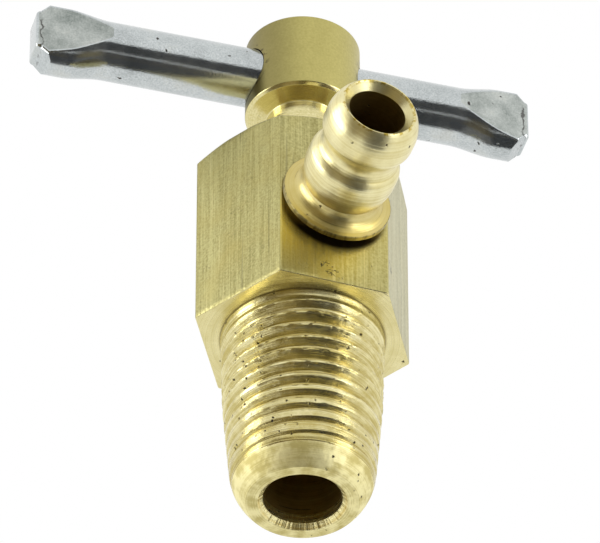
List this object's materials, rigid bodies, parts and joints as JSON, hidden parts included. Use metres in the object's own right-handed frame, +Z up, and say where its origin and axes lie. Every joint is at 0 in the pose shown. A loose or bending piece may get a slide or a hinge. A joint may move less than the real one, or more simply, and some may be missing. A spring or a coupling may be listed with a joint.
{
  "type": "radiator drain cock",
  "caption": "Brass drain valve: hexagon body on a tapered pipe thread, side hose nipple with rounded bulbs, and a screw stem turned by a sliding steel cross bar.",
  "frame": {"origin": "centre of the pipe thread's free end", "axes": "+Z up the stem, away from the pipe thread; the hose nipple points to -Y; the cross bar lies along X when the valve is shut"},
  "size_m": [0.0426, 0.0274, 0.0481],
  "materials": {
    "body_brass": "drawn and turned, satin",
    "nipple_brass": "turned, bright",
    "stem_brass": "turned, satin",
    "bar_zinc": "zinc plated",
    "ring_rubber": "matt"
  },
  "bodies": {
    "body": {"valve_body": "body_brass", "hose_nipple": "nipple_brass"},
    "lifted_ring": {"seat_ring": "ring_rubber"},
    "stem": {"stem": "stem_brass"},
    "cross_bar": {"handle_bar": "bar_zinc"}
  },
  "joints": [
    {"name": "stem_lift", "type": "slide", "parent": "body", "child": "lifted_ring", "axis": [0, 0, 1], "range_m": [0, 0.00317]},
    {"name": "stem_turn", "type": "hinge", "parent": "lifted_ring", "child": "stem", "pos_m": [0, 0, 0.04405], "axis": [0, 0, 1], "range_deg": [0, 1080]},
    {"name": "bar_slide", "type": "slide", "parent": "stem", "child": "cross_bar", "axis": [0.9986, -0.0523, 0], "range_m": [-0.0082, 0.012]}
  ],
  "couplings": [
    {"joint": "stem_lift", "follows": "stem_turn", "m_per_rad": 0.00016844}
  ]
}
